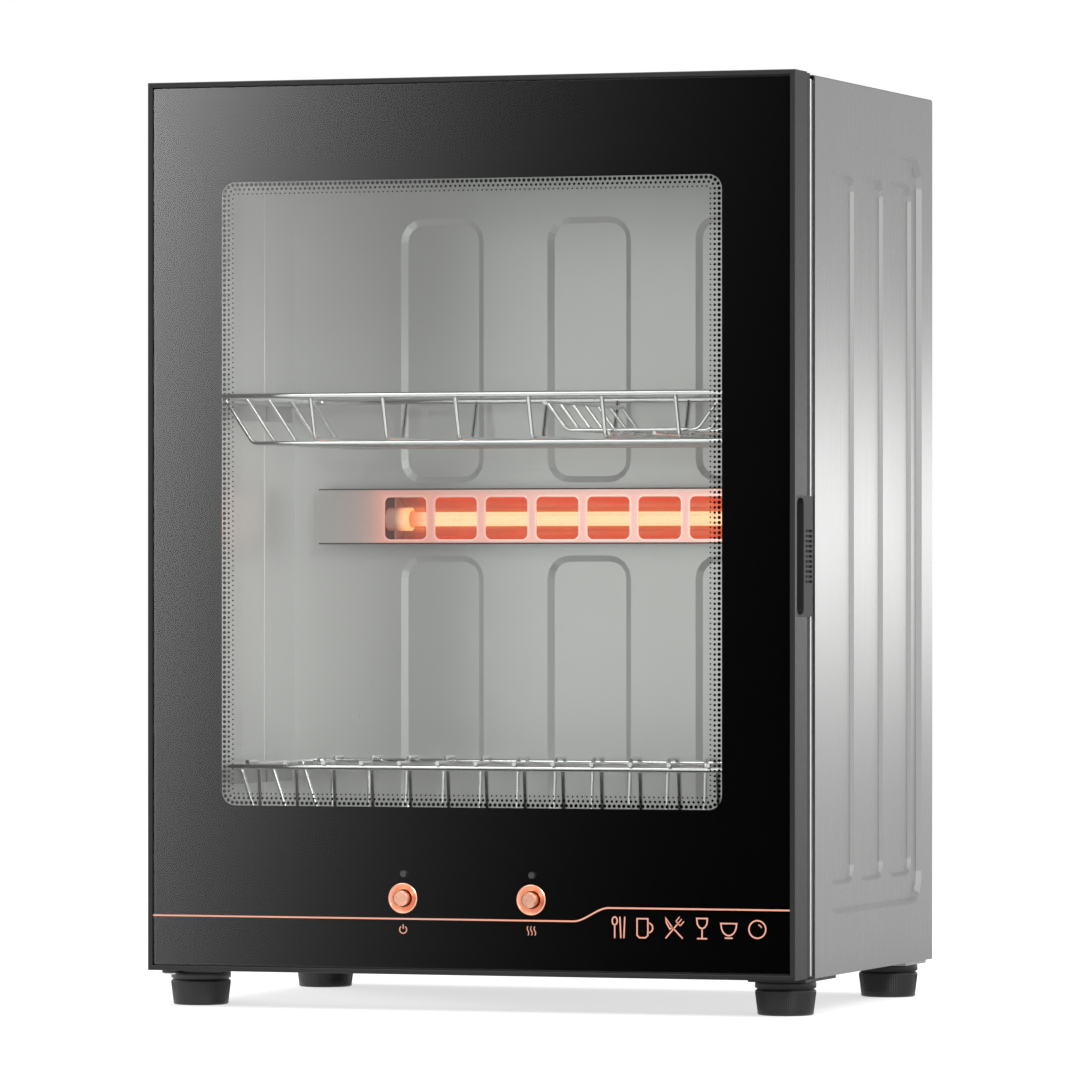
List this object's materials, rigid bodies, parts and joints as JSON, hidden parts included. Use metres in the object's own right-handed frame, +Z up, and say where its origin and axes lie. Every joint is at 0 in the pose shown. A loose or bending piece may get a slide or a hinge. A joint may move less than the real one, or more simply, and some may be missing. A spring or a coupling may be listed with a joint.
{
  "type": "dish sterilizer cabinet",
  "caption": "Free-standing dish sterilizer cabinet with a glass-fronted hinged door, push buttons, wire racks, a chopstick basket and an infrared heater.",
  "frame": {"origin": "bottom centre of the whole, on the plane the feet stand on", "axes": "+Z up, -Y is the front with the glass door, +X is the door's handle side"},
  "size_m": [0.457, 0.3376, 0.625],
  "materials": {
    "frame_black": "satin dark anodised look",
    "front_glass": "clear tempered",
    "black_print": "glossy black print behind the glass",
    "tray_black": "fine-grained moulding",
    "gasket_rubber": "matte",
    "inner_glass": "clear tempered",
    "handle_black": "satin",
    "plastic_white": "moulded",
    "rose_gold": "satin rose-gold metal",
    "lens_grey": "smoked",
    "board_green": "solder-resist lacquer",
    "shell_steel": "fine upright brushing",
    "liner_steel": "satin",
    "zinc_steel": "galvanised",
    "bracket_black": "powder coat",
    "pin_steel": "turned",
    "screw_steel": "zinc plated",
    "wire_chrome": "polished wire",
    "reflector_bright": "polished",
    "quartz": "clear quartz",
    "heating_wire": "glowing alloy wire",
    "white_ceramic": "unglazed",
    "bushing_plastic": "acetal",
    "foot_rubber": "matte black"
  },
  "bodies": {
    "cabinet": {"outer_shell": "shell_steel", "back_cover": "zinc_steel", "base_pan": "zinc_steel", "front_bezel": "liner_steel", "inner_liner": "liner_steel", "liner_back": "liner_steel", "upper_rack_rails": "liner_steel", "lower_rack_rails": "liner_steel", "heater_cover": "liner_steel", "heater_reflector": "reflector_bright", "quartz_tube": "quartz", "heater_coil": "heating_wire", "heater_end_caps": "white_ceramic", "heater_clips": "zinc_steel", "thermostat": "white_ceramic", "thermal_fuse": "white_ceramic", "terminal_block": "plastic_white", "cord_gland": "handle_black", "door_sensor": "plastic_white", "hinge_bracket_lower": "bracket_black", "hinge_bracket_upper": "bracket_black", "foot_bracket_right": "bracket_black", "foot_plates_rear": "bracket_black", "hinge_pins": "pin_steel", "foot_front_left": "foot_rubber", "foot_front_right": "foot_rubber", "foot_rear_left": "foot_rubber", "foot_rear_right": "foot_rubber", "foot_screws": "screw_steel", "back_cover_screws": "screw_steel"},
    "door": {"door_frame_top": "frame_black", "door_frame_bottom": "frame_black", "door_frame_hinge_stile": "frame_black", "door_frame_handle_stile": "frame_black", "door_glass": "front_glass", "glass_print": "black_print", "door_tray": "tray_black", "inner_glass": "inner_glass", "door_gasket": "gasket_rubber", "handle_insert": "handle_black", "door_corner_blocks": "tray_black", "hinge_bushes": "bushing_plastic", "power_bezel": "rose_gold", "sterilise_bezel": "rose_gold", "indicator_lenses": "lens_grey", "switch_bodies": "plastic_white", "control_board": "board_green"},
    "power_cap": {"power_button": "rose_gold"},
    "sterilise_cap": {"sterilise_button": "rose_gold"},
    "upper_rack_body": {"upper_rack": "wire_chrome"},
    "lower_rack_body": {"lower_rack": "wire_chrome"},
    "basket_body": {"chopstick_basket": "wire_chrome"}
  },
  "joints": [
    {"name": "door_hinge", "type": "hinge", "parent": "cabinet", "child": "door", "pos_m": [-0.219, -0.14425, 0.3], "axis": [0, 0, -1], "range_deg": [0, 110]},
    {"name": "power_push", "type": "slide", "parent": "door", "child": "power_cap", "axis": [0, 1, 0], "range_m": [0, 0.0025], "stiffness_N_per_m": 300},
    {"name": "sterilise_push", "type": "slide", "parent": "door", "child": "sterilise_cap", "axis": [0, 1, 0], "range_m": [0, 0.0025], "stiffness_N_per_m": 300},
    {"name": "upper_rack_lift", "type": "slide", "parent": "cabinet", "child": "upper_rack_body", "axis": [0, 0, 1], "range_m": [0, 0.03]},
    {"name": "lower_rack_lift", "type": "slide", "parent": "cabinet", "child": "lower_rack_body", "axis": [0, 0, 1], "range_m": [0, 0.03]},
    {"name": "basket_lift", "type": "slide", "parent": "upper_rack_body", "child": "basket_body", "axis": [0, 0, 1], "range_m": [0, 0.05]}
  ]
}
